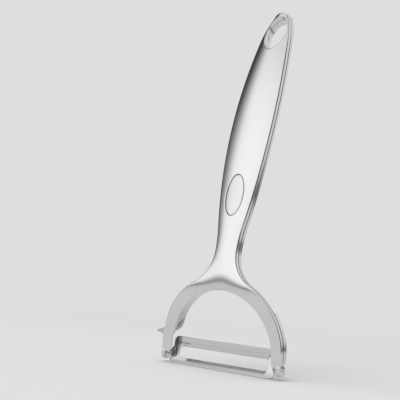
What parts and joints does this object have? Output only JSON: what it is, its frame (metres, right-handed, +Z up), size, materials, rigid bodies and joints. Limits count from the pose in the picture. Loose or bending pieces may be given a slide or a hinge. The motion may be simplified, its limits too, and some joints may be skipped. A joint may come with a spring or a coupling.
{
  "type": "vegetable peeler",
  "caption": "Y-shaped vegetable peeler with a polished two-shell handle, a swivelling slotted steel blade, a pointed eye remover and a hanging hole.",
  "frame": {"origin": "middle of the bounding box in X and Y, at its lowest point, which is the blade's lower edge", "axes": "+Z up the handle from the blade to the hanging hole, +X along the blade towards the arm without the eye remover, -Y the front that carries the badge place"},
  "size_m": [0.0722, 0.0418, 0.1772],
  "materials": {
    "polished_casting": "polished bright chrome on a zinc casting",
    "blade_steel": "ground and polished stainless strip",
    "plain_steel": "stamped stainless steel",
    "bright_steel": "polished turned steel",
    "satin_plate": "fine satin, bare of any marking",
    "black_seal": "matt black",
    "adhesive_pad": "soft adhesive film"
  },
  "bodies": {
    "handle": {"front_shell": "polished_casting", "back_shell": "polished_casting", "seam_gasket": "black_seal", "badge_plate": "satin_plate", "badge_adhesive": "adhesive_pad", "joining_pins": "plain_steel", "eye_remover": "plain_steel", "pivot_rivet_left": "bright_steel", "pivot_rivet_right": "bright_steel", "pivot_washer_left": "bright_steel", "pivot_washer_right": "bright_steel"},
    "blade": {"blade": "blade_steel"}
  },
  "joints": [
    {"name": "blade_swivel", "type": "hinge", "parent": "handle", "child": "blade", "pos_m": [0.00253, -0.01582, 0.00506], "axis": [1, 0, 0], "range_deg": [-35, 15]}
  ]
}
